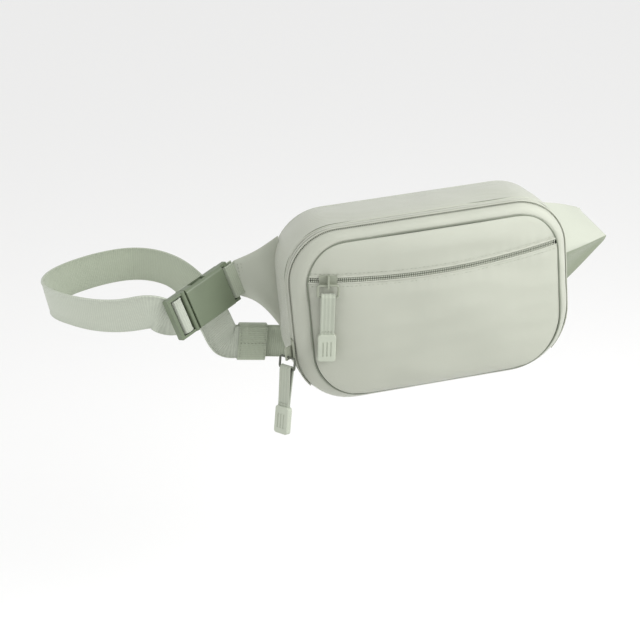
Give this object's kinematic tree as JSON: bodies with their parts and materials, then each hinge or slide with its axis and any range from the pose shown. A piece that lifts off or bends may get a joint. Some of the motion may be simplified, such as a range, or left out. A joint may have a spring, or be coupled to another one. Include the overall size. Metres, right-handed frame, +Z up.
{
  "type": "belt bag",
  "caption": "Zipped nylon waist pouch with a front pocket, webbing zip pulls, fabric wings, a side-release buckle and a looped webbing belt.",
  "frame": {"origin": "middle of the padded back panel's outer face, which rests on the wearer", "axes": "+Y towards the wearer, so the front faces -Y; +Z up; +X to the right seen from the front"},
  "size_m": [0.402, 0.1514, 0.1368],
  "materials": {
    "shell_fabric": "satin coated nylon",
    "piping": "woven binding",
    "padded_mesh": "air mesh over foam",
    "lining": "plain woven",
    "zip_tape": "woven zip tape",
    "zip_coil": "moulded coil",
    "slider_paint": "satin paint",
    "pull_wire": "dark wire",
    "pull_webbing": "narrow webbing",
    "pull_grip": "soft moulded grip",
    "wing_fabric": "coated nylon",
    "belt_webbing": "woven webbing",
    "buckle_plastic": "fine moulded texture"
  },
  "bodies": {
    "bag": {"side_band": "shell_fabric", "back_panel": "padded_mesh", "lining": "lining", "hinge_strip": "shell_fabric", "main_zip_tape_rear": "zip_tape", "main_zip_coil_rear": "zip_coil", "main_zip_stops": "zip_coil", "left_wing": "wing_fabric", "right_wing": "wing_fabric", "buckle_tab": "belt_webbing", "buckle_socket": "buckle_plastic", "belt_rear": "belt_webbing"},
    "front_flap": {"main_zip_tape_front": "zip_tape", "main_zip_coil_front": "zip_coil", "front_bevel": "shell_fabric", "front_piping": "piping", "front_panel_upper": "shell_fabric", "pocket_panel": "shell_fabric", "pocket_zip_tapes": "zip_tape", "pocket_zip_coil_upper": "zip_coil", "pocket_zip_coil_lower": "zip_coil", "pocket_backing": "lining"},
    "main_slider": {"main_slider": "slider_paint"},
    "main_ring": {"main_pull_ring": "pull_wire"},
    "main_pull": {"main_pull_webbing": "pull_webbing", "main_pull_end": "pull_grip"},
    "pocket_slider": {"pocket_slider": "slider_paint"},
    "pocket_ring": {"pocket_pull_ring": "pull_wire"},
    "pocket_pull": {"pocket_pull_webbing": "pull_webbing", "pocket_pull_end": "pull_grip"},
    "buckle_tongue": {"buckle_tongue": "buckle_plastic", "belt_bar_wrap": "belt_webbing", "belt_loop": "belt_webbing", "belt_tail": "belt_webbing"},
    "prong_upper": {"buckle_prong_upper": "buckle_plastic"},
    "prong_lower": {"buckle_prong_lower": "buckle_plastic"},
    "keeper": {"belt_keeper": "belt_webbing", "belt_tail_end": "belt_webbing"}
  },
  "joints": [
    {"name": "front_flap_hinge", "type": "hinge", "parent": "bag", "child": "front_flap", "pos_m": [0, -0.0471, -0.0575], "axis": [1, 0, 0], "range_deg": [0, 50]},
    {"name": "main_zip_slide", "type": "slide", "parent": "bag", "child": "main_slider", "axis": [0, 0, 1], "range_m": [0, 0.04]},
    {"name": "main_ring_hinge", "type": "hinge", "parent": "main_slider", "child": "main_ring", "pos_m": [-0.1036, -0.0494, -0.021], "axis": [0.5736, -0.8192, 0], "range_deg": [-90, 4]},
    {"name": "main_pull_hinge", "type": "hinge", "parent": "main_ring", "child": "main_pull", "pos_m": [-0.10519, -0.05051, -0.02876], "axis": [0.5736, -0.8192, 0], "range_deg": [-80, 3]},
    {"name": "pocket_zip_slide", "type": "hinge", "parent": "front_flap", "child": "pocket_slider", "pos_m": [0, 0.2615, 0.34558], "axis": [0, -0.7022, 0.712], "range_deg": [0, 17.5]},
    {"name": "pocket_ring_hinge", "type": "hinge", "parent": "pocket_slider", "child": "pocket_ring", "pos_m": [-0.07373, -0.06064, 0.0292], "axis": [0.9869, -0.1147, -0.1132], "range_deg": [-100, 0]},
    {"name": "pocket_pull_hinge", "type": "hinge", "parent": "pocket_ring", "child": "pocket_pull", "pos_m": [-0.07464, -0.06059, 0.02125], "axis": [0.9869, -0.1147, -0.1132], "range_deg": [-80, 0]},
    {"name": "buckle_slide", "type": "slide", "parent": "bag", "child": "buckle_tongue", "axis": [-0.8073, -0.5594, -0.188], "range_m": [0, 0.03]},
    {"name": "prong_upper_squeeze", "type": "hinge", "parent": "buckle_tongue", "child": "prong_upper", "pos_m": [-0.16338, -0.02659, 0.02356], "axis": [0.5294, -0.8273, 0.1882], "range_deg": [-9.1, 0]},
    {"name": "prong_lower_squeeze", "type": "hinge", "parent": "buckle_tongue", "child": "prong_lower", "pos_m": [-0.15921, -0.02743, 0.00814], "axis": [0.5294, -0.8273, 0.1882], "range_deg": [0, 9.1]},
    {"name": "keeper_slide", "type": "slide", "parent": "bag", "child": "keeper", "axis": [0.9835, 0, -0.1812], "range_m": [0, 0.012]}
  ],
  "couplings": [
    {"joint": "prong_upper_squeeze", "follows": "buckle_slide", "rad_per_m": -5.236},
    {"joint": "prong_lower_squeeze", "follows": "buckle_slide", "rad_per_m": 5.236}
  ]
}
